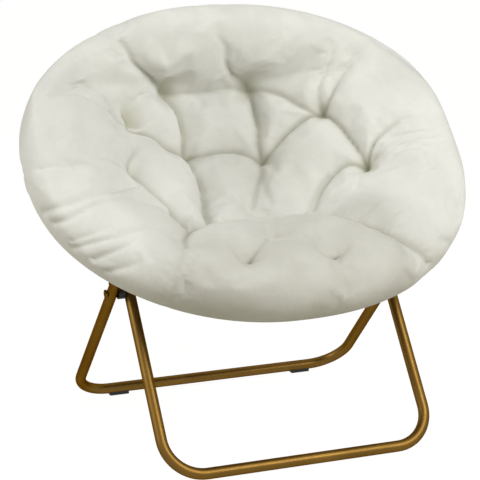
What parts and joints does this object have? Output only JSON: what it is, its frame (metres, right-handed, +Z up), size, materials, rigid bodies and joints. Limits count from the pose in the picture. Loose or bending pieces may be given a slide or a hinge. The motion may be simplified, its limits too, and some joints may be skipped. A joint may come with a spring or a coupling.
{
  "type": "folding saucer chair",
  "caption": "Folding saucer chair: a thick tufted plush bowl on a ring that folds in half, carried by two crossed frames of bent tube.",
  "frame": {"origin": "on the floor under the middle of the chair's width and depth", "axes": "+Z up, -Y towards the front that the sitter faces, +X to the right as seen from the front"},
  "size_m": [0.794, 0.5498, 0.7175],
  "materials": {
    "frame_gold": "satin",
    "hardware": "satin",
    "ring_steel": "satin",
    "black_plastic": "matte",
    "plush": "short plush",
    "sleeve_cloth": "plain weave"
  },
  "bodies": {
    "front_frame": {"front_leg_tube": "frame_gold", "front_leg_plugs": "black_plastic", "leg_pivot_rivets": "hardware", "leg_spacer_left": "black_plastic", "leg_spacer_right": "black_plastic", "back_ring_tube": "ring_steel", "back_bracket_left": "frame_gold", "back_bracket_right": "frame_gold", "bracket_bolts": "hardware", "bracket_nuts": "hardware", "back_hinge_leaf_left": "ring_steel", "back_hinge_leaf_right": "ring_steel", "ring_hinge_pins": "hardware", "back_ring_sleeve": "sleeve_cloth", "back_cushion": "plush"},
    "rear_frame": {"rear_leg_tube": "frame_gold", "rear_leg_plugs": "black_plastic", "rest_pins": "hardware", "rear_foot_pad_left": "black_plastic", "rear_foot_pad_right": "black_plastic"},
    "seat_half": {"seat_ring_tube": "ring_steel", "seat_hinge_leaf_left": "ring_steel", "seat_hinge_leaf_right": "ring_steel", "rest_bracket_left": "frame_gold", "rest_bracket_right": "frame_gold", "seat_ring_sleeve": "sleeve_cloth", "seat_cushion": "plush"}
  },
  "joints": [
    {"name": "leg_fold", "type": "hinge", "parent": "front_frame", "child": "rear_frame", "pos_m": [0, -0.061, 0.268], "axis": [-1, 0, 0], "range_deg": [0, 82]},
    {"name": "ring_fold", "type": "hinge", "parent": "front_frame", "child": "seat_half", "pos_m": [0, -0.02635, 0.49027], "axis": [-1, 0, 0], "range_deg": [0, 120]}
  ]
}
